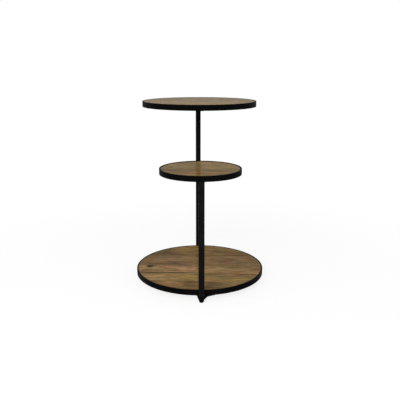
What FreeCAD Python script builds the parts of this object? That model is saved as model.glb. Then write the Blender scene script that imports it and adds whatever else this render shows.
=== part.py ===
import FreeCAD, Part
import math
import os
import Sketcher

# Tiered side table: three round wooden tiers in steel hoops, held by two square posts.
# Each tier is a hoop of flat bar with a spine and two arms welded across its lower edge,
# and a panel of edge-glued boards that lies on them and is screwed down from below.
# The front post carries the middle tier by its front rim and the back post carries the
# top tier by its back rim, so both tiers are cantilevers over the base.
# Millimetres, +Z up. The origin is on the floor under the middle of the base, the front
# post stands at -Y and the boards run along X, those of the base a few degrees off it.

DRIVING_SIZES = [
    ("base_radius", 230, "outside of the base hoop"),
    ("middle_radius", 138, "outside of the middle hoop"),
    ("top_radius", 200, "outside of the top hoop"),
    ("middle_level", 425, "floor to the rim of the middle hoop"),
    ("top_level", 635, "floor to the rim of the top hoop"),
    ("foot_height", 19, "floor to the lower edge of the base hoop"),
    ("bar_height", 19, "height of the hoops' flat bar"),
    ("bar_thickness", 4, "thickness of all flat bar"),
    ("bar_edge", 0.5, "chamfer on the edges of the hoops"),
    ("post_width", 19, "outside of the square tube"),
    ("post_wall", 1.5, "wall of the square tube"),
    ("post_corner", 1.8, "outer corner radius of the square tube"),
    ("post_inner_corner", 0.8, "inner corner radius of the square tube"),
    ("spine_width", 25, "flat bar under the boards, from front to back"),
    ("arm_width", 25, "flat bars under the boards, to each side"),
    ("panel_gap", 0.4, "between the boards and the hoop"),
    ("panel_arris", 0.5, "chamfer round the upper edge of the boards"),
    ("base_recess", 0.5, "boards below the rim of the base hoop"),
    ("middle_recess", 1.5, "boards below the rim of the middle hoop"),
    ("top_recess", 0.5, "boards below the rim of the top hoop"),
    ("base_screw_circle", 120, "radius of the base tier's screws"),
    ("middle_screw_circle", 85, "radius of the middle tier's screws"),
    ("top_screw_circle", 130, "radius of the top tier's screws"),
    ("base_turn", -3.5, "degrees from +X to the run of the base's boards"),
    ("base_seam_one", -149, "glue lines of the base, across its boards"),
    ("base_seam_two", -78, ""),
    ("base_seam_three", 1, ""),
    ("base_seam_four", 101, ""),
    ("middle_seam_one", -64, "glue lines of the middle tier, from its own centre"),
    ("middle_seam_two", -8, ""),
    ("top_seam_one", -105, "glue lines of the top tier, from its own centre"),
    ("top_seam_two", -22, ""),
    ("top_seam_three", 100, ""),
    ("screw_radius", 2, "outside of the thread, and the pilot holes"),
    ("screw_hole_radius", 2.3, "clearance holes in the flat bars"),
    ("screw_depth", 11, "length of the screws in the wood"),
    ("screw_tip", 2.5, "length of the screws' cone"),
    ("head_radius", 4, "pan heads"),
    ("head_height", 2.4, ""),
    ("head_rim", 1.3, "height of the pan heads' straight rim"),
    ("recess_length", 4.4, "cross recess in the heads"),
    ("recess_width", 0.9, ""),
    ("recess_depth", 1.2, ""),
    ("side_foot_reach", 195, "side feet, from the middle of the base"),
    ("flange_radius", 13.5, "top of the feet"),
    ("flange_height", 1, "rim that the flare ends in"),
    ("flange_edge", 0.3, "chamfer round the top of the feet"),
    ("ankle_radius", 10.3, "where the taper of the feet meets the flare"),
    ("ankle_height", 10.5, ""),
    ("flare_radius", 60, "hollow curve of the flare"),
    ("toe_radius", 7.8, "lower end of the feet"),
    ("glide_height", 3, "plastic glides under the feet"),
    ("glide_radius", 7.3, ""),
    ("glide_edge", 1, "chamfer on the floor edge of the glides"),
    ("stem_radius", 2.5, "stems of the glides and their bores in the feet"),
    ("stem_length", 7, ""),
]

doc = FreeCAD.newDocument("TieredSideTable")
sheet = doc.addObject("Spreadsheet::Sheet", "Sizes")


class Size:
    """A number in millimetres together with the sheet expression that gives it."""

    def __init__(self, value, text):
        self.value = value
        self.text = text

    def __add__(self, other):
        return Size(self.value + other.value, f"({self.text} + {other.text})")

    def __sub__(self, other):
        return Size(self.value - other.value, f"({self.text} - {other.text})")

    def __neg__(self):
        return Size(-self.value, f"(-{self.text})")

    def half(self):
        return Size(self.value / 2, f"({self.text} / 2)")

    def along(self, angle):
        """The part of this length that lies along a line at that angle, in degrees."""
        cosine = math.cos(math.radians(angle.value))
        return Size(self.value * cosine, f"({self.text} * cos({angle.text}))")

    def across(self, angle):
        """The part of this length that lies across a line at that angle, in degrees."""
        sine = math.sin(math.radians(angle.value))
        return Size(self.value * sine, f"({self.text} * sin({angle.text}))")


ZERO = Size(0, "0")
size = {}
for row, (alias, value, note) in enumerate(DRIVING_SIZES, start=1):
    sheet.set(f"A{row}", alias)
    sheet.set(f"B{row}", str(value))
    sheet.setAlias(f"B{row}", alias)
    sheet.set(f"C{row}", note)
    size[alias] = Size(value, f"Sizes.{alias}")
doc.recompute()

hoop_level = {
    "base": size["foot_height"],
    "middle": size["middle_level"] - size["bar_height"],
    "top": size["top_level"] - size["bar_height"],
}
post_axis = size["base_radius"] + size["post_width"].half()
post_face = size["base_radius"] + size["post_width"]
hoop_centre = {
    "base": ZERO,
    "middle": size["middle_radius"] - post_face,
    "top": post_face - size["top_radius"],
}
board_turn = {"base": size["base_turn"], "middle": ZERO, "top": ZERO}
seams = {
    "base": ["base_seam_one", "base_seam_two", "base_seam_three", "base_seam_four"],
    "middle": ["middle_seam_one", "middle_seam_two"],
    "top": ["top_seam_one", "top_seam_two", "top_seam_three"],
}
TIERS = ["base", "middle", "top"]
sub_parts = []


# Bodies, sketches and features

def new_body(name, x=ZERO, y=ZERO, z=ZERO, turn=0):
    """An empty body, turned about +Z by so many degrees and placed by the sheet."""
    body = doc.addObject("PartDesign::Body", name)
    body.Label = name
    body.Placement = FreeCAD.Placement(
        FreeCAD.Vector(x.value, y.value, z.value),
        FreeCAD.Rotation(FreeCAD.Vector(0, 0, 1), turn),
    )
    for axis, place in (("x", x), ("y", y), ("z", z)):
        body.setExpression(f"Placement.Base.{axis}", place.text)
    sub_parts.append(body)
    return body


def origin_feature(body, role):
    return next(item for item in body.Origin.OriginFeatures if item.Role == role)


def new_sketch(body, name, plane="XY_Plane"):
    sketch = body.newObject("Sketcher::SketchObject", f"{body.Name}_{name}")
    sketch.AttachmentSupport = (origin_feature(body, plane), [""])
    sketch.MapMode = "FlatFace"
    return sketch


def bind(sketch, length, kind, *where):
    """A dimension of the sketch that follows the sheet."""
    index = sketch.addConstraint(Sketcher.Constraint(kind, *where, length.value))
    sketch.setExpression(f"Constraints[{index}]", length.text)


def line(start, end):
    return Part.LineSegment(FreeCAD.Vector(*start, 0), FreeCAD.Vector(*end, 0))


def arc_about_origin(radius, start, end):
    """An anticlockwise arc about the sketch's origin between two points."""
    circle = Part.Circle(FreeCAD.Vector(0, 0, 0), FreeCAD.Vector(0, 0, 1), radius)
    first = math.atan2(start[1], start[0])
    last = math.atan2(end[1], end[0])
    return Part.ArcOfCircle(circle, first, last)


def join_in_a_ring(sketch, sides):
    """Joins the end of each side to the start of the next."""
    for index, side in enumerate(sides):
        follower = sides[(index + 1) % len(sides)]
        sketch.addConstraint(Sketcher.Constraint("Coincident", side, 2, follower, 1))


def draw_polygon(sketch, corners, hollow_side=None, hollow_radius=None):
    """A closed outline through corners given by the sheet. One side may be a hollow arc."""
    count = len(corners)
    flat = [(x.value, y.value) for x, y in corners]
    sides = []
    for index in range(count):
        start = flat[index]
        end = flat[(index + 1) % count]
        if index == hollow_side:
            sides.append(sketch.addGeometry(hollow_arc(start, end, hollow_radius.value)))
        else:
            sides.append(sketch.addGeometry(line(start, end)))
    if hollow_side is None:
        join_in_a_ring(sketch, sides)
    else:
        # The arc is drawn clockwise, so its ends change places.
        for index, side in enumerate(sides):
            follower = sides[(index + 1) % count]
            leaving = 1 if index == hollow_side else 2
            entering = 2 if (index + 1) % count == hollow_side else 1
            sketch.addConstraint(
                Sketcher.Constraint("Coincident", side, leaving, follower, entering))
        bind(sketch, hollow_radius, "Radius", sides[hollow_side])
    for index, (x, y) in enumerate(corners):
        point = 2 if index == hollow_side else 1
        for coordinate, kind, axis in ((x, "DistanceX", -2), (y, "DistanceY", -1)):
            if coordinate is ZERO:
                sketch.addConstraint(
                    Sketcher.Constraint("PointOnObject", sides[index], point, axis))
            else:
                bind(sketch, coordinate, kind, -1, 1, sides[index], point)


def hollow_arc(start, end, radius):
    """An arc between two points of a profile, hollow towards the outside of the piece."""
    first = FreeCAD.Vector(*start, 0)
    last = FreeCAD.Vector(*end, 0)
    chord = last - first
    rise = math.sqrt(radius ** 2 - (chord.Length / 2) ** 2)
    aside = FreeCAD.Vector(chord.y, -chord.x, 0).normalize()
    centre = (first + last) / 2 + aside * rise
    circle = Part.Circle(centre, FreeCAD.Vector(0, 0, 1), radius)
    return Part.ArcOfCircle(circle, circle.parameter(last), circle.parameter(first))


def draw_disc_strip(sketch, radius, low, high):
    """The part of a disc between two chords along X. None stands for the disc's own edge."""
    def half_chord(level):
        return math.sqrt(radius.value ** 2 - level.value ** 2)

    sides = []
    chords = []
    arcs = []
    if low is not None:
        reach = half_chord(low)
        chords.append((len(sides), low))
        sides.append(sketch.addGeometry(line((-reach, low.value), (reach, low.value))))
    if low is not None and high is not None:
        start = (half_chord(low), low.value)
        end = (half_chord(high), high.value)
        arcs.append(len(sides))
        sides.append(sketch.addGeometry(arc_about_origin(radius.value, start, end)))
    if high is not None:
        reach = half_chord(high)
        chords.append((len(sides), high))
        sides.append(sketch.addGeometry(line((reach, high.value), (-reach, high.value))))
    if high is None:
        start, end = (half_chord(low), low.value), (-half_chord(low), low.value)
    elif low is None:
        start, end = (-half_chord(high), high.value), (half_chord(high), high.value)
    else:
        start, end = (-half_chord(high), high.value), (-half_chord(low), low.value)
    arcs.append(len(sides))
    sides.append(sketch.addGeometry(arc_about_origin(radius.value, start, end)))

    join_in_a_ring(sketch, sides)
    for index in arcs:
        sketch.addConstraint(Sketcher.Constraint("Coincident", sides[index], 3, -1, 1))
    bind(sketch, radius, "Radius", sides[arcs[0]])
    if len(arcs) == 2:
        sketch.addConstraint(Sketcher.Constraint("Equal", sides[arcs[0]], sides[arcs[1]]))
    for index, level in chords:
        sketch.addConstraint(Sketcher.Constraint("Horizontal", sides[index]))
        bind(sketch, level, "DistanceY", -1, 1, sides[index], 1)


def draw_circle(sketch, x, y, radius):
    centre = FreeCAD.Vector(x.value, y.value, 0)
    side = sketch.addGeometry(Part.Circle(centre, FreeCAD.Vector(0, 0, 1), radius.value))
    bind(sketch, radius, "Radius", side)
    for coordinate, kind, axis in ((x, "DistanceX", -2), (y, "DistanceY", -1)):
        if coordinate is ZERO:
            sketch.addConstraint(Sketcher.Constraint("PointOnObject", side, 3, axis))
        else:
            bind(sketch, coordinate, kind, -1, 1, side, 3)


def pad(body, sketch, length):
    feature = body.newObject("PartDesign::Pad", f"{sketch.Name}_pad")
    feature.Profile = sketch
    feature.setExpression("Length", length.text)
    doc.recompute()
    return feature


def pocket(body, sketch, depth, upwards):
    """Cuts the sketch into the solid and makes sure that it took something away."""
    before = body.Shape.Volume
    feature = body.newObject("PartDesign::Pocket", f"{sketch.Name}_pocket")
    feature.Profile = sketch
    feature.Reversed = upwards
    feature.setExpression("Length", depth.text)
    doc.recompute()
    if body.Shape.Volume >= before:
        raise RuntimeError(f"{feature.Name} cuts nothing")
    return feature


def revolve(body, sketch):
    feature = body.newObject("PartDesign::Revolution", f"{sketch.Name}_revolution")
    feature.Profile = sketch
    feature.ReferenceAxis = (sketch, ["V_Axis"])
    feature.Angle = 360
    doc.recompute()
    return feature


def edge_names(feature, wanted):
    """The names of the edges for which wanted(edge) holds."""
    edges = enumerate(feature.Shape.Edges, start=1)
    return [f"Edge{number}" for number, edge in edges if wanted(edge)]


def round_edges(body, feature, radius, wanted):
    fillet = body.newObject("PartDesign::Fillet", f"{feature.Name}_fillet")
    fillet.Base = (feature, edge_names(feature, wanted))
    fillet.setExpression("Radius", radius.text)
    doc.recompute()
    return fillet


def chamfer_edges(body, feature, width, wanted):
    chamfer = body.newObject("PartDesign::Chamfer", f"{feature.Name}_chamfer")
    chamfer.Base = (feature, edge_names(feature, wanted))
    chamfer.setExpression("Size", width.text)
    doc.recompute()


def is_circle(edge, radius, level=None):
    """Whether the edge is an arc of that radius about Z, at that height if one is given."""
    if not isinstance(edge.Curve, Part.Circle):
        return False
    if abs(edge.Curve.Radius - radius.value) > 1e-6:
        return False
    return level is None or abs(edge.Curve.Center.z - level.value) < 1e-6


# Sub-parts

def make_hoop(tier):
    """Flat bar on edge, rolled into a ring."""
    radius = size[f"{tier}_radius"]
    inside = radius - size["bar_thickness"]
    body = new_body(f"{tier}_hoop", y=hoop_centre[tier], z=hoop_level[tier])
    profile = new_sketch(body, "section", "XZ_Plane")
    draw_polygon(profile, [
        (inside, ZERO),
        (radius, ZERO),
        (radius, size["bar_height"]),
        (inside, size["bar_height"]),
    ])
    ring = revolve(body, profile)
    chamfer_edges(body, ring, size["bar_edge"], lambda edge: isinstance(edge.Curve, Part.Circle))


def make_spine(tier):
    """Flat bar from the front of the hoop to its back, under the boards."""
    inside = size[f"{tier}_radius"] - size["bar_thickness"]
    half_width = size["spine_width"].half()
    screw_circle = size[f"{tier}_screw_circle"]
    body = new_body(f"{tier}_spine", y=hoop_centre[tier], z=hoop_level[tier], turn=90)
    outline = new_sketch(body, "outline")
    draw_disc_strip(outline, inside, -half_width, half_width)
    pad(body, outline, size["bar_thickness"])
    holes = new_sketch(body, "screw_holes")
    draw_circle(holes, screw_circle, ZERO, size["screw_hole_radius"])
    draw_circle(holes, -screw_circle, ZERO, size["screw_hole_radius"])
    pocket(body, holes, size["bar_thickness"], upwards=True)


def make_arm(tier, side, turn):
    """Flat bar from the side of the spine to the hoop."""
    inside = size[f"{tier}_radius"] - size["bar_thickness"]
    half_width = size["arm_width"].half()
    start = size["spine_width"].half()
    reach = math.sqrt(inside.value ** 2 - half_width.value ** 2)
    body = new_body(f"{tier}_{side}_arm", y=hoop_centre[tier], z=hoop_level[tier], turn=turn)
    outline = new_sketch(body, "outline")
    low, high = -half_width.value, half_width.value
    sides = [
        outline.addGeometry(line((start.value, low), (reach, low))),
        outline.addGeometry(arc_about_origin(inside.value, (reach, low), (reach, high))),
        outline.addGeometry(line((reach, high), (start.value, high))),
        outline.addGeometry(line((start.value, high), (start.value, low))),
    ]
    join_in_a_ring(outline, sides)
    outline.addConstraint(Sketcher.Constraint("Coincident", sides[1], 3, -1, 1))
    bind(outline, inside, "Radius", sides[1])
    bind(outline, start, "DistanceX", -1, 1, sides[0], 1)
    bind(outline, -half_width, "DistanceY", -1, 1, sides[0], 1)
    bind(outline, half_width, "DistanceY", -1, 1, sides[2], 1)
    outline.addConstraint(Sketcher.Constraint("Horizontal", sides[0]))
    outline.addConstraint(Sketcher.Constraint("Horizontal", sides[2]))
    outline.addConstraint(Sketcher.Constraint("Vertical", sides[3]))
    pad(body, outline, size["bar_thickness"])
    holes = new_sketch(body, "screw_hole")
    draw_circle(holes, size[f"{tier}_screw_circle"], ZERO, size["screw_hole_radius"])
    pocket(body, holes, size["bar_thickness"], upwards=True)


def screw_places(tier):
    """Where the tier's screws are, from its centre and with X along its boards."""
    reach = size[f"{tier}_screw_circle"]
    turn = board_turn[tier]
    if turn is ZERO:
        return [(reach, ZERO), (-reach, ZERO), (ZERO, reach), (ZERO, -reach)]
    along, across = reach.along(turn), reach.across(turn)
    return [(along, -across), (-along, across), (across, along), (-across, -along)]


def make_boards(tier):
    """Boards glued edge to edge and cut to a disc, with pilot holes for the screws."""
    radius = size[f"{tier}_radius"] - size["bar_thickness"] - size["panel_gap"]
    thickness = size["bar_height"] - size["bar_thickness"] - size[f"{tier}_recess"]
    level = hoop_level[tier] + size["bar_thickness"]
    turn = board_turn[tier]
    lines = [None] + [size[alias] for alias in seams[tier]] + [None]
    for number in range(1, len(lines)):
        low, high = lines[number - 1], lines[number]
        body = new_body(f"{tier}_board_{number}", y=hoop_centre[tier], z=level, turn=turn.value)
        body.setExpression("Placement.Rotation.Angle", turn.text)
        outline = new_sketch(body, "outline")
        draw_disc_strip(outline, radius, low, high)
        board = pad(body, outline, thickness)
        bottom = -radius.value if low is None else low.value
        top = radius.value if high is None else high.value
        below = [place for place in screw_places(tier) if bottom < place[1].value < top]
        if below:
            holes = new_sketch(body, "pilot_holes")
            for x, y in below:
                draw_circle(holes, x, y, size["screw_radius"])
            board = pocket(body, holes, size["screw_depth"], upwards=True)
        chamfer_edges(body, board, size["panel_arris"],
                      lambda edge: is_circle(edge, radius, thickness))


def make_screws(tier):
    """Pan-head screws, driven upwards through the spine and the arms into the boards."""
    body = new_body(f"{tier}_screws", y=hoop_centre[tier], z=hoop_level[tier])
    body.AllowCompound = True
    screw_circle = size[f"{tier}_screw_circle"]
    tip = size["bar_thickness"] + size["screw_depth"]
    profile = new_sketch(body, "profile", "XZ_Plane")
    profile.setExpression("AttachmentOffset.Base.x", screw_circle.text)
    draw_polygon(profile, [
        (ZERO, -size["head_height"]),
        (size["head_radius"] - size["head_rim"], -size["head_height"]),
        (size["head_radius"], -size["head_rim"]),
        (size["head_radius"], ZERO),
        (size["screw_radius"], ZERO),
        (size["screw_radius"], tip - size["screw_tip"]),
        (ZERO, tip),
    ])
    blank = revolve(body, profile)

    cross = new_sketch(body, "cross_recess")
    cross.setExpression("AttachmentOffset.Base.x", screw_circle.text)
    cross.setExpression("AttachmentOffset.Base.z", (-size["head_height"]).text)
    far = size["recess_length"].half()
    near = size["recess_width"].half()
    draw_polygon(cross, [
        (far, -near), (far, near), (near, near), (near, far),
        (-near, far), (-near, near), (-far, near), (-far, -near),
        (-near, -near), (-near, -far), (near, -far), (near, -near),
    ])
    recess = pocket(body, cross, size["recess_depth"], upwards=True)

    ring = body.newObject("PartDesign::PolarPattern", f"{body.Name}_ring")
    ring.Originals = [blank, recess]
    ring.Axis = (origin_feature(body, "Z_Axis"), [""])
    ring.Angle = 360
    ring.Occurrences = 4
    body.Tip = ring
    doc.recompute()


def make_post(name, side, tier):
    """Square tube from the foot up to the lower edge of its hoop."""
    outside = size["post_width"].half()
    inside = outside - size["post_wall"]
    place = post_axis if side > 0 else -post_axis
    body = new_body(name, y=place, z=size["foot_height"])
    section = new_sketch(body, "section")
    for reach in (outside, inside):
        draw_polygon(section, [(-reach, -reach), (reach, -reach), (reach, reach), (-reach, reach)])
    tube = pad(body, section, hoop_level[tier] - size["foot_height"])

    def upright(edge, reach):
        middle = edge.CenterOfMass
        return abs(abs(middle.x) - reach.value) < 1e-6 and abs(abs(middle.y) - reach.value) < 1e-6

    outer = round_edges(body, tube, size["post_corner"], lambda edge: upright(edge, outside))
    round_edges(body, outer, size["post_inner_corner"], lambda edge: upright(edge, inside))


def make_foot(name, x, y):
    """Turned foot: a taper that flares out to the flange under the frame, bored for a glide."""
    flange_bottom = size["foot_height"] - size["flange_height"]
    bore_end = size["glide_height"] + size["stem_length"]
    body = new_body(name, x=x, y=y)
    profile = new_sketch(body, "profile", "XZ_Plane")
    draw_polygon(profile, [
        (size["stem_radius"], size["glide_height"]),
        (size["toe_radius"], size["glide_height"]),
        (size["ankle_radius"], size["ankle_height"]),
        (size["flange_radius"], flange_bottom),
        (size["flange_radius"], size["foot_height"]),
        (ZERO, size["foot_height"]),
        (ZERO, bore_end),
        (size["stem_radius"], bore_end),
    ], hollow_side=2, hollow_radius=size["flare_radius"])
    turned = revolve(body, profile)
    chamfer_edges(body, turned, size["flange_edge"],
                  lambda edge: is_circle(edge, size["flange_radius"], size["foot_height"]))


def make_glide(name, x, y):
    """Plastic glide pressed into the bore of a foot by its stem."""
    body = new_body(name, x=x, y=y)
    profile = new_sketch(body, "profile", "XZ_Plane")
    stem_end = size["glide_height"] + size["stem_length"]
    draw_polygon(profile, [
        (ZERO, ZERO),
        (size["glide_radius"], ZERO),
        (size["glide_radius"], size["glide_height"]),
        (size["stem_radius"], size["glide_height"]),
        (size["stem_radius"], stem_end),
        (ZERO, stem_end),
    ])
    disc = revolve(body, profile)
    chamfer_edges(body, disc, size["glide_edge"],
                  lambda edge: is_circle(edge, size["glide_radius"], ZERO))


for tier in TIERS:
    make_hoop(tier)
    make_spine(tier)
    make_arm(tier, "right", turn=0)
    make_arm(tier, "left", turn=180)
    make_boards(tier)
    make_screws(tier)

make_post("front_post", -1, "middle")
make_post("back_post", 1, "top")

foot_places = {
    "front": (ZERO, -post_axis),
    "back": (ZERO, post_axis),
    "left": (-size["side_foot_reach"], ZERO),
    "right": (size["side_foot_reach"], ZERO),
}
for side, (x, y) in foot_places.items():
    make_foot(f"{side}_foot", x, y)
    make_glide(f"{side}_glide", x, y)

doc.recompute()
for item in doc.Objects:
    if "Invalid" in item.State or "Error" in item.State:
        raise RuntimeError(f"{item.Name} did not build: {item.State}")
for body in sub_parts:
    if body.Shape.isNull() or not body.Shape.isValid():
        raise RuntimeError(f"{body.Label} has no sound shape")

os.makedirs("parts", exist_ok=True)
for body in sub_parts:
    body.Shape.exportStep(f"parts/{body.Label}.step")
print(f"{len(sub_parts)} sub-parts written")
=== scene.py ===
import math
import random

import bmesh
import bpy
from mathutils import Matrix, Vector


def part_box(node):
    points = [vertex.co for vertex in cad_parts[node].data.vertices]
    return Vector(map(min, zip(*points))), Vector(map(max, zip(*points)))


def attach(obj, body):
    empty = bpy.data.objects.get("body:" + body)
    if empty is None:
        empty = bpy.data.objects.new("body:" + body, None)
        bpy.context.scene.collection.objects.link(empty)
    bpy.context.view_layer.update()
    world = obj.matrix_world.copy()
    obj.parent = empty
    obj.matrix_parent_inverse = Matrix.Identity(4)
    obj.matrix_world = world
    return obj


# Tiered side table: three round tiers of lacquered mango wood in black steel hoops, on two posts.
# Lengths are metres, or millimetres where a note says so. +Z is up, and the table's front is at -Y.

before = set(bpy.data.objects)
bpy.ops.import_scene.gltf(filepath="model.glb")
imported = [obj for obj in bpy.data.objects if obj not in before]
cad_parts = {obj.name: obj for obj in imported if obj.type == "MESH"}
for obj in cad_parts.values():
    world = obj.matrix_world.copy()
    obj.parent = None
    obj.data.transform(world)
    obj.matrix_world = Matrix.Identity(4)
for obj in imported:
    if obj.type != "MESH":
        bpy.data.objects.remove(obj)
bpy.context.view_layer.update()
mm = 0.001


# Shader nodes

def srgb(red, green, blue):
    # 0 to 255 as a colour picker shows it, to the linear numbers that shaders use
    def linear(part):
        part /= 255
        return part / 12.92 if part <= 0.04045 else ((part + 0.055) / 1.055) ** 2.4
    return (linear(red), linear(green), linear(blue), 1)


def startMaterial(name, **values):
    material = bpy.data.materials.new(name)
    material.use_nodes = True
    tree = material.node_tree
    shader = tree.nodes["Principled BSDF"]
    for socket, value in values.items():
        shader.inputs[socket.replace("_", " ")].default_value = value
    return material, tree, shader


def addNode(tree, kind, label="", **settings):
    made = tree.nodes.new("ShaderNode" + kind)
    made.label = label
    for setting, value in settings.items():
        setattr(made, setting, value)
    return made


def feed(tree, socket, value):
    # a socket takes another node's output, or a plain value
    if isinstance(value, bpy.types.NodeSocket):
        tree.links.new(value, socket)
    else:
        socket.default_value = value


def calc(tree, operation, *values):
    made = addNode(tree, "Math", operation=operation)
    for socket, value in zip(made.inputs, values):
        feed(tree, socket, value)
    return made.outputs[0]


def vectorCalc(tree, operation, *values):
    made = addNode(tree, "VectorMath", operation=operation)
    for socket, value in zip(made.inputs, values):
        feed(tree, socket, value)
    return made.outputs["Vector"]


def size(tree, vector):
    # how long a vector is
    made = addNode(tree, "VectorMath", operation="LENGTH")
    feed(tree, made.inputs[0], vector)
    return made.outputs["Value"]


def wander(tree, value, reach):
    # a noise colour to an offset that goes both ways
    return vectorCalc(tree, "MULTIPLY_ADD", value, [2 * part for part in reach],
                      [-part for part in reach])


def tinted(colour, tint):
    # a plain colour times a tint
    return [part * share for part, share in zip(colour, (*tint, 1))]


def tintedBy(tree, colour, tint):
    # the same for the colour that a node gives
    return vectorCalc(tree, "MULTIPLY", colour, tint)


def fade(tree, value, start, end, low=0, high=1, label=""):
    # a soft step from low at start to high at end
    made = addNode(tree, "MapRange", label, interpolation_type="SMOOTHSTEP")
    for socket, entry in zip(("Value", "From Min", "From Max", "To Min", "To Max"),
                             (value, start, end, low, high)):
        feed(tree, made.inputs[socket], entry)
    return made.outputs["Result"]


def mixColour(tree, amount, first, second, blend="MIX", label=""):
    made = addNode(tree, "Mix", label, data_type="RGBA", blend_type=blend)
    factor, a, b = (s for s in made.inputs if s.enabled)
    feed(tree, factor, amount)
    feed(tree, a, first)
    feed(tree, b, second)
    return next(s for s in made.outputs if s.enabled)


def noise(tree, place, scale, detail=2, roughness=0.5, dimensions="3D"):
    made = addNode(tree, "TexNoise", noise_dimensions=dimensions)
    feed(tree, made.inputs["W" if dimensions == "1D" else "Vector"], place)
    made.inputs["Scale"].default_value = scale
    made.inputs["Detail"].default_value = detail
    made.inputs["Roughness"].default_value = roughness
    return made


def objectPlace(tree, scale=1 / mm):
    # the place on the object, in millimetres unless another scale is given
    place = addNode(tree, "TexCoord").outputs["Object"]
    made = addNode(tree, "Mapping", "scaled")
    feed(tree, made.inputs["Vector"], place)
    made.inputs["Scale"].default_value = (scale,) * 3
    return made.outputs[0]


def stretch(tree, place, along, across, shift=(0, 0, 0)):
    # so that one unit is this many millimetres along the grain and across it
    made = addNode(tree, "Mapping", "stretch")
    feed(tree, made.inputs["Vector"], place)
    made.inputs["Location"].default_value = shift
    made.inputs["Scale"].default_value = (1 / along, 1 / across, 1 / across)
    return made.outputs[0]


def bump(tree, height, distance):
    made = addNode(tree, "Bump")
    feed(tree, made.inputs["Height"], height)
    made.inputs["Distance"].default_value = distance
    made.inputs["Strength"].default_value = 1
    return made.outputs["Normal"]


# Wood

# sizes of the figure, in millimetres
grain = {
    "swayLength": 240, "swayWidth": 38, "sway": 7,  # slow bends of the grain
    "ringWidth": 9, "fineRing": 1.6,                # growth rings
    "taper": 0.035,                                 # how fast the log gets thinner along X
    "fibreLength": 46, "fibreWidth": 0.8,
    "poreLength": 7, "poreWidth": 0.36,
    "patchLength": 120, "patchWidth": 24,           # clouds of darker and lighter wood
    "blotchLength": 34, "blotchWidth": 11,
    "streakLength": 80, "streakWidth": 6.5,
    "driftLength": 90, "driftWidth": 30,            # where the wood turns warmer or greener
    "raggedLength": 30, "raggedWidth": 9,           # how the edge of a mark wanders, and how far
    "ragged": (16, 7, 0),
    "seamWidth": 0.8,                               # glue lines between the boards
    "rimStart": 2.6, "rimStop": 0.6,                # painted shade in the joint and on the eased edge of the boards beside the hoop
    "otherBoard": (3.7, 1.9),                       # each board takes another part of the noise
    "relief": 0.06 * mm,                            # depth of the pores under the lacquer, metres
}

# what each layer of the figure does: noise from and to, and the shade or share at both
layers = {
    "rings": (0.3, 0.7, 0, 0.6), "clouds": (0.35, 0.75, 0, 0.6), "drift": (0.3, 0.7),
    "fineRings": (0.3, 0.7, -0.08, 0.08), "fibres": (0.25, 0.75, 0.87, 1.17),
    "blotches": (0.34, 0.66, 0.8, 1.2), "streaks": (0.36, 0.64, 0.78, 1.22),
    "pores": (0.6, 0.67), "poreShade": 0.5, "fibreRelief": 0.4, "seamShade": 0.5, "rimShade": 0.3,
    "roughness": (0.2, 0.8, 0.7, 0.55),
    "markEdge": (0.45, 1.35),                       # between these shares of its size a mark fades
}

# a knot, in shares of its size: the rings rise round it, and its dark heart has a torn edge
knotLooks = {"along": 0.95, "reach": 4, "rise": 2.2, "edge": (1.45, 2)}

tints = {
    "earlyWood": (1.14, 1.16, 1.18), "lateWood": (0.76, 0.72, 0.66), "cloud": (0.68, 0.68, 0.64),
    "warm": (1.07, 0.98, 0.95), "green": (0.95, 1.02, 0.98), "knot": (0.14, 0.1, 0.02),
}

lacquer = {"Specular_IOR_Level": 0.01, "Coat_Weight": 0.12, "Coat_Roughness": 0.1}

# what each kind of mark does to the red, green and blue of the board
stains = {
    "umber": (0.36, 0.28, 0.2), "slate": (0.6, 0.6, 0.56), "olive": (0.82, 0.90, 0.76),
    "russet": (0.88, 0.76, 0.76), "gold": (1.16, 1.16, 0.86), "cream": (1.28, 1.30, 1.42),
    "salmon": (1.28, 1.20, 1.34), "rose": (1.16, 1.1, 1.12), "amber": (1.26, 1.16, 1.14),
    "ash": (0.98, 1.08, 1.2), "mist": (0.72, 0.8, 0.94), "brown": (0.76, 0.72, 0.7),
    "rust": (0.84, 0.72, 0.56),
}

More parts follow.
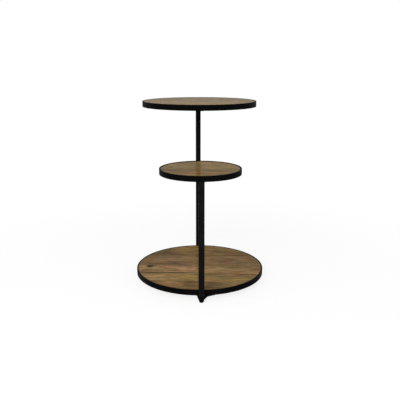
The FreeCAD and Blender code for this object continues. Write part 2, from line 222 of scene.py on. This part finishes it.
# A tier: its centre, the degrees its boards are turned by, where its glue lines lie across the
# boards, and the radius of the wood. A board: tone is its colour, heart says where the middle of
# its log lies, across the boards and up. marks: kind, place along and across the boards from the
# tier's middle, half length, half width. knots: place and size. All in millimetres.
boardLooks = {
    "base": {"centre": (0, 0), "turn": -3.5, "seams": (-149, -78, 1, 101), "reach": 225.6,
             "boards": [
        {"tone": (121, 94, 54), "heart": (-190, -60), "marks": [
            ("salmon", -95, -174, 32, 18), ("gold", -101, -154, 26, 5),
            ("slate", -141, -159, 13, 10), ("ash", -100, -151, 44, 12),
            ("mist", -150, -152, 18, 10), ("slate", -27, -174, 24, 32),
            ("slate", 59, -177, 34, 18), ("slate", 40, -198, 17, 11), ("gold", 95, -154, 34, 8),
            # painted shade: the first two marks on the next line darken a wide band along the front
            # edge, beside the hoop
            ("brown", -25, -224, 76, 15), ("umber", -34, -229, 54, 12), ("brown", 40, -206, 44, 12),
            ("ash", 118, -168, 28, 14), ("ash", -100, -198, 30, 12), ("rose", -100, -194, 20, 14),
            ("rose", -78, -175, 14, 10), ("rose", 34, -158, 12, 16), ("ash", 102, -196, 16, 12)]},
        {"tone": (132, 106, 64), "heart": (-118, 45), "marks": [
            ("umber", -122, -77, 98, 5), ("umber", -180, -79, 40, 3), ("umber", -70, -80, 26, 2),
            ("gold", -30, -116, 34, 17),
            ("rust", 40, -86, 34, 8), ("umber", 145, -81, 34, 5), ("russet", 131, -102, 50, 9),
            ("slate", 195, -84, 14, 12), ("brown", 176, -86, 40, 9), ("gold", 154, -128, 32, 12),
            ("ash", -138, -128, 52, 18), ("rose", -130, -112, 50, 14), ("amber", 46, -132, 28, 24),
            ("rose", 110, -104, 76, 12), ("rose", 34, -145, 14, 10)]},
        {"tone": (137, 108, 68), "heart": (-20, -95), "knots": [(-182, -13, 10)], "marks": [
            ("salmon", -94, -24, 92, 21), ("rose", -44, -44, 44, 20), ("cream", -60, -65, 62, 9),
            ("russet", -88, -49, 38, 6), ("russet", -128, -59, 50, 5), ("cream", -212, -30, 20, 16),
            ("olive", 92, -12, 70, 14), ("slate", 125, -14, 44, 12), ("cream", 62, -42, 54, 12),
            ("rose", 56, -58, 56, 14), ("russet", -183, -53, 20, 12), ("umber", -122, -76, 98, 5),
            ("umber", -178, -75, 44, 5.5), ("brown", 210, -14, 46, 34), ("rose", -114, -20, 28, 20),
            ("rose", 38, -30, 24, 14), ("rose", 82, -64, 20, 14), ("mist", 162, -32, 24, 8),
            ("mist", -138, -57, 18, 6), ("umber", -46, -4.5, 40, 3), ("salmon", -46, -24, 40, 8),
            ("umber", -70, -75, 26, 4), ("brown", -164, -3, 14, 6)]},
        {"tone": (123, 97, 61), "heart": (70, -50), "marks": [
            ("russet", -67, 30, 60, 10), ("slate", -116, 14, 66, 9), ("russet", -141, 18, 56, 12),
            ("slate", -182, 3, 18, 6), ("brown", -205, 18, 26, 14), ("russet", 97, 46, 28, 30),
            ("slate", 144, 29, 14, 8), ("ash", -104, 66, 70, 18), ("rose", -64, 46, 54, 17),
            ("rose", 70, 78, 92, 22), ("brown", 210, 60, 36, 56), ("rose", 34, 48, 30, 24),
            ("amber", 52, 12, 36, 10), ("rose", -38, 46, 20, 18), ("brown", -184, 97, 30, 12),
            ("brown", 166, 101, 34, 6)]},
        {"tone": (119, 92, 51), "heart": (150, -80), "marks": [
            ("brown", -172, 112, 62, 25), ("slate", -145, 142, 30, 26),
            ("brown", -116, 142, 34, 30), ("brown", -132, 172, 30, 16),
            ("russet", -108, 124, 24, 12), ("russet", 111, 122, 30, 20),
            ("brown", 178, 122, 50, 40), ("gold", -46, 180, 46, 22), ("olive", 75, 165, 26, 36),
            ("olive", -30, 108, 120, 7), ("amber", 24, 108, 20, 8), ("brown", -182, 104, 34, 14),
            ("brown", 162, 105, 34, 6)]},
    ]},
    "middle": {"centre": (0, -111), "turn": 0, "seams": (-64, -8), "reach": 133.6, "boards": [
        {"tone": (119, 93, 48), "heart": (-105, -70), "marks": [
            ("salmon", -40, -90, 28, 20), ("rose", -36, -88, 70, 18), ("russet", 85, -60, 24, 14)]},
        {"tone": (118, 94, 52), "heart": (-30, 60), "marks": [
            ("slate", -85, -36, 32, 18), ("slate", 30, -40, 38, 14), ("russet", 85, -55, 24, 14),
            ("mist", -124, -18, 20, 24), ("brown", -76, -12, 60, 8)]},
        {"tone": (139, 115, 68), "heart": (70, -75), "marks": [
            ("cream", 20, 85, 24, 26), ("olive", 50, 38, 24, 14), ("olive", -98, 22, 14, 13),
            ("gold", -45, 66, 20, 16), ("brown", -80, 5, 54, 15), ("mist", -124, 24, 20, 32),
            ("mist", 124, 32, 22, 40), ("amber", 32, 34, 22, 50), ("brown", -58, 118, 50, 13)]},
    ]},
    "top": {"centre": (0, 49), "turn": 0, "seams": (-105, -22, 100), "reach": 195.6, "boards": [
        {"tone": (129, 102, 61), "heart": (-150, -80), "marks": [
            ("slate", -80, -150, 40, 14), ("russet", 50, -135, 36, 14)]},
        {"tone": (125, 103, 65), "heart": (-60, 55), "marks": [
            ("salmon", -90, -60, 60, 14), ("olive", 110, -50, 44, 12),
            ("brown", 180, -60, 40, 40)]},
        {"tone": (118, 98, 63), "heart": (40, -90), "marks": [
            ("slate", -110, 60, 46, 13), ("cream", 20, 24, 80, 16), ("russet", 120, 12, 36, 12),
            ("brown", 180, 10, 36, 40)]},
        {"tone": (111, 95, 64), "heart": (160, -60), "marks": [
            ("gold", -60, 130, 40, 12), ("slate", 60, 165, 34, 10)]},
    ]},
}


def boardWood(tier, number):
    # solid wood cut from a log that lies along X, so the grain runs through to every face
    row = boardLooks[tier]
    look = row["boards"][number - 1]
    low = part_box(f"{tier}_board_{number}")[0]
    turn = math.radians(-row["turn"])
    centreX, centreY = row["centre"]
    heartY, heartZ = look["heart"]
    material, tree, shader = startMaterial(f"{tier}Wood{number}", **lacquer)

    # millimetres along and across the boards from the tier's middle, and up from their underside
    place = addNode(tree, "Mapping", "board's frame")
    feed(tree, place.inputs["Vector"], addNode(tree, "TexCoord").outputs["Object"])
    place.inputs["Scale"].default_value = (1 / mm,) * 3
    place.inputs["Rotation"].default_value = (0, 0, turn)
    place.inputs["Location"].default_value = (
        centreY * math.sin(turn) - centreX * math.cos(turn),
        -centreX * math.sin(turn) - centreY * math.cos(turn), -low.z / mm)
    place = place.outputs[0]
    otherX, otherY = grain["otherBoard"]
    shift = (number * otherX + len(tier), number * otherY, 0)

    def stretched(kind, detail=3, roughness=0.6, source=None, output=0):
        spot = stretch(tree, source or bent, grain[kind + "Length"], grain[kind + "Width"], shift)
        return noise(tree, spot, 1, detail, roughness).outputs[output]

    sway = stretched("sway", 2, 0.5, place, "Color")
    bent = vectorCalc(tree, "ADD", place, wander(tree, sway, (0, grain["sway"], grain["sway"])))
    edge = stretched("ragged", 3, 0.6, place, "Color")
    ragged = vectorCalc(tree, "ADD", bent, wander(tree, edge, grain["ragged"]))

    # growth rings are the distance from the heart of the log, and they rise round a knot
    fromHeart = vectorCalc(tree, "MULTIPLY_ADD", bent, (0, 1, 1), (0, -heartY, -heartZ))
    along = addNode(tree, "SeparateXYZ")
    feed(tree, along.inputs[0], bent)
    radius = calc(tree, "MULTIPLY_ADD", along.outputs["X"], grain["taper"], size(tree, fromHeart))
    share = knotLooks["along"]
    knots = []
    for x, y, wide in look.get("knots", ()):
        fromKnot = vectorCalc(tree, "MULTIPLY_ADD", bent, (share, 1, 0), (-share * x, -y, 0))
        knots.append((size(tree, fromKnot), wide))
    for gap, wide in knots:
        rise = fade(tree, gap, 0, wide * knotLooks["reach"], wide * knotLooks["rise"], 0)
        radius = calc(tree, "ADD", radius, rise)
    broad = noise(tree, radius, 1 / grain["ringWidth"], 2, 0.6, "1D").outputs[0]
    fine = noise(tree, radius, 1 / grain["fineRing"], 1, dimensions="1D").outputs[0]
    fibre = stretched("fibre")
    pore = fade(tree, stretched("pore", 1, 0.5), *layers["pores"], label="pores")
    patch = stretched("patch")
    blotch = stretched("blotch", 2)
    streak = stretched("streak", 2)
    drift = stretched("drift", 2, 0.5, place)

    tone = srgb(*look["tone"])
    colour = mixColour(tree, fade(tree, broad, *layers["rings"]), tinted(tone, tints["earlyWood"]),
                       tinted(tone, tints["lateWood"]), label="rings")
    colour = mixColour(tree, fade(tree, patch, *layers["clouds"]), colour, (*tints["cloud"], 1),
                       "MULTIPLY", "clouds")
    colour = mixColour(tree, fade(tree, drift, *layers["drift"]),
                       tintedBy(tree, colour, tints["warm"]),
                       tintedBy(tree, colour, tints["green"]), label="warm or green")
    for kind, x, y, length, width in look["marks"]:
        spot = vectorCalc(tree, "MULTIPLY_ADD", ragged, (1 / length, 1 / width, 0),
                          (-x / length, -y / width, 0))
        colour = mixColour(tree, fade(tree, size(tree, spot), *layers["markEdge"], 1, 0), colour,
                           (*stains[kind], 1), "MULTIPLY", kind)
    inner, outer = knotLooks["edge"]
    for gap, wide in knots:
        torn = calc(tree, "MULTIPLY_ADD", blotch, wide, gap)
        colour = mixColour(tree, fade(tree, torn, wide * inner, wide * outer, 1, 0), colour,
                           (*tints["knot"], 1), "MULTIPLY", "knot")

    shade = calc(tree, "ADD", fade(tree, fine, *layers["fineRings"]),
                 fade(tree, fibre, *layers["fibres"]))
    shade = calc(tree, "MULTIPLY", shade, fade(tree, blotch, *layers["blotches"]))
    shade = calc(tree, "MULTIPLY", shade, fade(tree, streak, *layers["streaks"]))
    shade = calc(tree, "MULTIPLY", shade, fade(tree, pore, 0, 1, 1, layers["poreShade"]))
    seamSide = addNode(tree, "SeparateXYZ")
    feed(tree, seamSide.inputs[0], place)
    for seam in row["seams"][max(number - 2, 0):number]:
        gap = calc(tree, "ABSOLUTE", calc(tree, "SUBTRACT", seamSide.outputs["Y"], seam))
        line = fade(tree, gap, 0, grain["seamWidth"], layers["seamShade"], 1)
        shade = calc(tree, "MULTIPLY", shade, line)
    # painted shade: the boards darken towards the hoop, standing for the shade in the joint
    out = size(tree, vectorCalc(tree, "MULTIPLY", place, (1, 1, 0)))
    rim = fade(tree, out, row["reach"] - grain["rimStart"], row["reach"] - grain["rimStop"],
               1, layers["rimShade"])
    shade = calc(tree, "MULTIPLY", shade, rim)
    whole = addNode(tree, "VectorMath", operation="SCALE")
    feed(tree, whole.inputs[0], colour)
    feed(tree, whole.inputs["Scale"], shade)
    feed(tree, shader.inputs["Base Color"], whole.outputs[0])

    feed(tree, shader.inputs["Roughness"], fade(tree, fibre, *layers["roughness"]))
    relief = calc(tree, "SUBTRACT", calc(tree, "MULTIPLY", fibre, layers["fibreRelief"]), pore)
    feed(tree, shader.inputs["Normal"], bump(tree, relief, grain["relief"]))
    return material


# Steel and plastic

# Sizes of the finishes are in millimetres, depths in metres. Two colours go with the noise that
# they fade between, and roughness is noise from and to, and the roughness at both.
paint = {
    "bar": (srgb(5, 5, 6), srgb(8, 8, 8)),          # painted shade: the tubes' black coat, made darker for the hoops, arms and welds
    "tube": (srgb(13, 13, 13), srgb(17, 17, 17)),
    "cloud": 60, "cloudFade": (0.35, 0.7), "roughness": (0.3, 0.7, 0.42, 0.54),
    "peel": 1.4, "peelDepth": 0.012 * mm,           # the coat's orange peel
}

plating = {
    "colours": (srgb(48, 48, 50), srgb(74, 73, 72)),
    "stain": 1.8, "stainFade": (0.35, 0.65), "roughness": (0.3, 0.7, 0.3, 0.5),
}

glide = {
    "colours": (srgb(30, 30, 30), srgb(52, 51, 49)),
    "scuffLength": 6, "scuffWidth": 0.7, "scuffFade": (0.5, 0.75),
    "roughness": (0.3, 0.7, 0.5, 0.68), "grit": 0.5, "gritDepth": 0.02 * mm,
}


def blackPaint(name, kind):
    # satin black powder coat
    material, tree, shader = startMaterial(name, Specular_IOR_Level=0.01)
    place = objectPlace(tree)
    peel = noise(tree, place, 1 / paint["peel"], 2).outputs[0]
    cloud = noise(tree, place, 1 / paint["cloud"], 3).outputs[0]
    colour = mixColour(tree, fade(tree, cloud, *paint["cloudFade"]), *paint[kind])
    feed(tree, shader.inputs["Base Color"], colour)
    feed(tree, shader.inputs["Roughness"], fade(tree, cloud, *paint["roughness"]))
    feed(tree, shader.inputs["Normal"], bump(tree, peel, paint["peelDepth"]))
    return material


def blackZinc():
    material, tree, shader = startMaterial("blackZinc", Metallic=0.9)
    place = objectPlace(tree)
    stain = noise(tree, place, 1 / plating["stain"], 3, 0.6).outputs[0]
    colour = mixColour(tree, fade(tree, stain, *plating["stainFade"]), *plating["colours"])
    feed(tree, shader.inputs["Base Color"], colour)
    feed(tree, shader.inputs["Roughness"], fade(tree, stain, *plating["roughness"]))
    return material


def nylon():
    material, tree, shader = startMaterial("nylon", Specular_IOR_Level=0.35)
    place = objectPlace(tree)
    grit = noise(tree, place, 1 / glide["grit"], 2).outputs[0]
    spot = stretch(tree, place, glide["scuffLength"], glide["scuffWidth"])
    scuff = noise(tree, spot, 1, 3, 0.6).outputs[0]
    colour = mixColour(tree, fade(tree, scuff, *glide["scuffFade"]), *glide["colours"])
    feed(tree, shader.inputs["Base Color"], colour)
    feed(tree, shader.inputs["Roughness"], fade(tree, scuff, *glide["roughness"]))
    feed(tree, shader.inputs["Normal"], bump(tree, grit, glide["gritDepth"]))
    return material


def paintNode(name, material):
    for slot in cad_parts[name].material_slots:
        slot.material = material


# painted shade: the hoops, arms and welds take a darker copy of the posts' coat
shadedBarPaint, tubePaint = blackPaint("shadedBarPaint", "bar"), blackPaint("tubePaint", "tube")
zinc, plastic = blackZinc(), nylon()
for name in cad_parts:
    words = name.split("_")
    if "board" in words:
        paintNode(name, boardWood(words[0], int(words[-1])))
    elif "screws" in words:
        paintNode(name, zinc)
    elif "glide" in words:
        paintNode(name, plastic)
    else:
        paintNode(name, tubePaint if "post" in words else shadedBarPaint)
print("finishes on", len(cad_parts), "nodes")


# Weld beads, all in millimetres

weld = {
    "ripple": 2.2, "step": 0.55,        # length of one ripple, and of one ring of the bead's mesh
    "rise": 0.11, "uneven": 0.04,       # how much the radius swells and wanders, as a share of it
    "sides": 10, "corner": 4,           # corners are rounded over this many steps
    "taperSteps": 4,                    # an open bead thins out over these at its ends
    "seam": 2.6, "postEnd": 1.8, "frame": 1.5, "footRing": 1.2, "shoulder": 1.9,    # radii
    "sunk": 0.4, "seamSunk": 0.6,       # how deep a bead's middle lies in the steel
    "short": 1, "postEndShort": 2,      # how far a bead stops before the end of its joint
    "ringLift": 0.3, "ringTurn": 5,     # a foot's ring: above the joint, and degrees per corner
    "seed": 7,
}

steel = {
    "tubeHalf": 9.5, "postInner": 230, "postOuter": 249, "armHalf": 12.5, "barHeight": 19,
    "sideFoot": 195, "footTop": 13.5, "footHeight": 19,
    "tiers": {  # centre from front to back, inside of the hoop, underside, free ends of the spine
        "base": {"centre": 0, "inside": 226, "under": 19, "spineEnds": ()},
        "middle": {"centre": -111, "inside": 134, "under": 406, "spineEnds": (1,)},
        "top": {"centre": 49, "inside": 196, "under": 616, "spineEnds": (-1,)},
    },
}

# from a foot's shoulder up to the hoop: out, forwards, up from the hoop's edge, share of the radius
shoulderLine = [(16, 229.4, 0.4, 0.6), (13.4, 231, 0, 1), (11.8, 234, -0.2, 1), (11, 239, 0, 0.7)]

# the front foot's weld runs out along the underside of the hoop in two beads: place and radius
footRun = [
    [(6, -238, 8, 2.2), (8.2, -237, 10.6, 3), (11, -235.5, 12.7, 3.5), (13, -234, 14.1, 3.3),
     (16, -232, 15.7, 2.9), (20, -230.5, 17.5, 2.5), (24, -229.8, 18.1, 2.2),
     (30, -229, 18.5, 1.9), (36, -228, 19.3, 1.6), (42, -226.8, 19.7, 1.3),
     (47, -225.6, 19.7, 0.9)],
    [(9, -236, 16, 2.6), (12, -233.5, 17, 2.8), (15, -231.5, 18, 2.8), (19, -230.2, 19, 2.4),
     (24, -229.4, 19.8, 1.9), (29, -228.9, 20.2, 1.3)],
]


def even(corners, closed):
    # evenly spaced places and radii along a line of corners, which are rounded a little
    corners = [Vector(corner) for corner in corners]
    if closed:
        corners.append(corners[0])
    steps = []
    for start, end in zip(corners, corners[1:]):
        count = max(1, round((end - start).length / weld["step"]))
        steps += [start.lerp(end, k / count) for k in range(count)]
    reach, last = weld["corner"], len(steps) - 1
    rounded = []
    for middle in range(len(steps)):
        near = range(middle - reach, middle + reach + 1)
        picks = [steps[k % len(steps)] if closed else steps[min(max(k, 0), last)] for k in near]
        rounded.append(sum(picks, Vector((0, 0, 0, 0))) / len(picks))
    return rounded


def addBead(data, corners, closed):
    steps = even(corners, closed)
    count, thin = len(steps), weld["taperSteps"]
    spline = data.splines.new("POLY")
    spline.points.add(count - 1)
    spline.use_cyclic_u = closed
    for index, (point, spot) in enumerate(zip(spline.points, steps)):
        ripple = abs(math.sin(math.pi * index * weld["step"] / weld["ripple"]))
        toEnd = 1 if closed else min(1, (index + 1) / thin, (count - index) / thin) ** 0.5
        swell = 1 - weld["rise"] * (1 - ripple) + weld["uneven"] * chance.uniform(-1, 1)
        point.co = (*(spot.xyz * mm), 1)
        point.radius = spot.w * swell * toEnd


def weldPiece(name, *beads, closed=False):
    data = bpy.data.curves.new(name, "CURVE")
    data.dimensions = "3D"
    data.bevel_depth = mm
    data.bevel_resolution = (weld["sides"] - 4) // 2  # none gives four sides, each step two more
    data.use_fill_caps = True
    for bead in beads:
        addBead(data, bead, closed)
    line = bpy.data.objects.new(name + "Line", data)
    mesh = bpy.data.meshes.new_from_object(line)
    bpy.data.objects.remove(line)
    bpy.data.curves.remove(data)
    mesh.name = name
    mesh.shade_smooth()
    mesh.materials.clear()
    mesh.materials.append(shadedBarPaint)
    piece = bpy.data.objects.new(name, mesh)
    bpy.context.scene.collection.objects.link(piece)
    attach(piece, "root")


def makePostWelds(name, side, level):
    # up the base hoop on both sides of the post, and round three sides of the post's upper end
    low = steel["tiers"]["base"]["under"] + weld["short"]
    high = low + steel["barHeight"] - 2 * weld["short"]
    face = side * (steel["postInner"] - weld["seamSunk"])
    edge, bead = steel["tubeHalf"] + weld["sunk"], weld["seam"]
    seams = [[(x, face, low, bead), (x, face, high, bead)] for x in (-edge, edge)]
    inner = side * (steel["postInner"] - weld["sunk"])
    outer = side * (steel["postOuter"] - weld["postEndShort"])
    z, bead = level - weld["sunk"], weld["postEnd"]
    weldPiece(name, *seams, [(-edge, outer, z, bead), (-edge, inner, z, bead),
                             (edge, inner, z, bead), (edge, outer, z, bead)])


def makePostFootWeld(name, side):
    x, bead = steel["tubeHalf"] + weld["sunk"], weld["footRing"]
    z = steel["tiers"]["base"]["under"] + weld["ringLift"]
    near = side * (steel["postInner"] - weld["sunk"])
    far = side * (steel["postOuter"] + weld["sunk"])
    weldPiece(name, [(-x, near, z, bead), (-x, far, z, bead), (x, far, z, bead),
                     (x, near, z, bead)], closed=True)


def makeShoulderWelds(name, side):
    # left and right of the post
    top, bead = steel["tiers"]["base"]["under"], weld["shoulder"]
    beads = [[(turn * x, side * y, top + z, bead * share) for x, y, z, share in shoulderLine]
             for turn in (-1, 1)]
    weldPiece(name, *beads)


def makeSideFootWeld(name, side):
    turns = [math.radians(turn) for turn in range(0, 360, weld["ringTurn"])]
    place, reach = side * steel["sideFoot"], steel["footTop"] - weld["sunk"]
    weldPiece(name, [(place + reach * math.cos(turn), reach * math.sin(turn), steel["footHeight"],
                      weld["footRing"]) for turn in turns], closed=True)


def makeFrameWelds(tier):
    # where the arms and the spine meet each other and the hoop, from below
    row = steel["tiers"][tier]
    y, z, bead = row["centre"], row["under"] + weld["sunk"], weld["frame"]
    half, reach = steel["armHalf"], row["inside"] - weld["sunk"]
    short = weld["short"]
    across = [[(x, y - half + short, z, bead), (x, y + half - short, z, bead)]
              for x in (-reach, -half, half, reach)]
    ends = [[(short - half, y + side * reach, z, bead), (half - short, y + side * reach, z, bead)]
            for side in row["spineEnds"]]
    weldPiece(f"{tier}_frame_welds", *across, *ends)


chance = random.Random(weld["seed"])
makePostWelds("front_post_welds", -1, steel["tiers"]["middle"]["under"])
makePostWelds("back_post_welds", 1, steel["tiers"]["top"]["under"])
makePostFootWeld("front_foot_weld", -1)
makePostFootWeld("back_foot_weld", 1)
makeShoulderWelds("front_shoulder_welds", -1)
makeShoulderWelds("back_shoulder_welds", 1)
makeSideFootWeld("left_foot_weld", -1)
makeSideFootWeld("right_foot_weld", 1)
for tier in steel["tiers"]:
    makeFrameWelds(tier)
weldPiece("front_foot_run", *footRun)
print("welds laid")


# Studio

studio = {
    "ambient": 0.6,
    "floorReach": 6, "floorTone": (0.95, 0.95, 0.95, 1), "floorRoughness": 0.9,
    "shadowShare": 0.17, "shadowFade": (0.5, 1.3),  # how much of the shadow shows, and how far out
}

camera = {
    "lens": 49.62, "sensor": 36,
    "place": (-0.0465, -1.9175, 0.7675),
    "pitch": 14.075, "heading": 1.423,  # degrees below the horizon, and to the right of +Y
}

lamps = {
    "overhead": {"place": (0, -0.3, 3.6), "aim": (0, 0, 0.3), "size": 3, "power": 15},
    "front": {"place": (-0.8, -3, 1.7), "aim": (0, 0, 0.3), "size": 1.8, "power": 90},
}


def backgroundShare(tree):
    # 1 for rays that show the background, straight or in a reflection
    path = addNode(tree, "LightPath")
    share = calc(tree, "MAXIMUM", path.outputs["Is Camera Ray"], path.outputs["Is Glossy Ray"])
    return calc(tree, "MAXIMUM", share, path.outputs["Is Transmission Ray"])


def makeWorld():
    world = bpy.data.worlds.new("studio")
    bpy.context.scene.world = world
    world.use_nodes = True
    tree = world.node_tree
    light = tree.nodes["Background"]
    light.inputs["Color"].default_value = (1, 1, 1, 1)
    feed(tree, light.inputs["Strength"],
         fade(tree, backgroundShare(tree), 0, 1, studio["ambient"], 1))


def makeFloor():
    reach = studio["floorReach"]
    bm = bmesh.new()
    bmesh.ops.create_grid(bm, x_segments=1, y_segments=1, size=reach)
    mesh = bpy.data.meshes.new("floor")
    bm.to_mesh(mesh)
    bm.free()
    floor = bpy.data.objects.new("floor", mesh)
    bpy.context.scene.collection.objects.link(floor)

    material, tree, shader = startMaterial("paleFloor", Base_Color=studio["floorTone"],
                                           Roughness=studio["floorRoughness"],
                                           Specular_IOR_Level=0)
    mesh.materials.append(material)
    place = objectPlace(tree, 1)
    away = size(tree, vectorCalc(tree, "MULTIPLY", place, (1, 1, 0)))
    shown = fade(tree, away, *studio["shadowFade"], 1 - studio["shadowShare"], 1)
    white = addNode(tree, "Emission")
    mix = addNode(tree, "MixShader")
    feed(tree, mix.inputs[0], calc(tree, "MULTIPLY", backgroundShare(tree), shown))
    feed(tree, mix.inputs[1], shader.outputs[0])
    feed(tree, mix.inputs[2], white.outputs[0])
    feed(tree, tree.nodes["Material Output"].inputs["Surface"], mix.outputs[0])


def makeLamps():
    for name, lamp in lamps.items():
        data = bpy.data.lights.new(name, "AREA")
        data.size = lamp["size"]
        data.energy = lamp["power"]
        made = bpy.data.objects.new(name, data)
        bpy.context.scene.collection.objects.link(made)
        made.location = lamp["place"]
        made.visible_glossy = False  # no hard patch of light mirrored in the lacquer
        towards = Vector(lamp["aim"]) - Vector(lamp["place"])
        made.rotation_euler = towards.to_track_quat("-Z", "Y").to_euler()


def makeCamera():
    data = bpy.data.cameras.new("camera")
    data.lens = camera["lens"]
    data.sensor_width = camera["sensor"]
    made = bpy.data.objects.new("camera", data)
    bpy.context.scene.collection.objects.link(made)
    made.location = camera["place"]
    turn = Matrix.Rotation(-math.radians(camera["heading"]), 3, "Z")
    tip = Matrix.Rotation(math.radians(90 - camera["pitch"]), 3, "X")
    made.rotation_euler = (turn @ tip).to_euler()
    bpy.context.scene.camera = made


makeWorld()
makeFloor()
makeLamps()
makeCamera()
bpy.context.scene.view_settings.view_transform = "Standard"
print("studio ready")
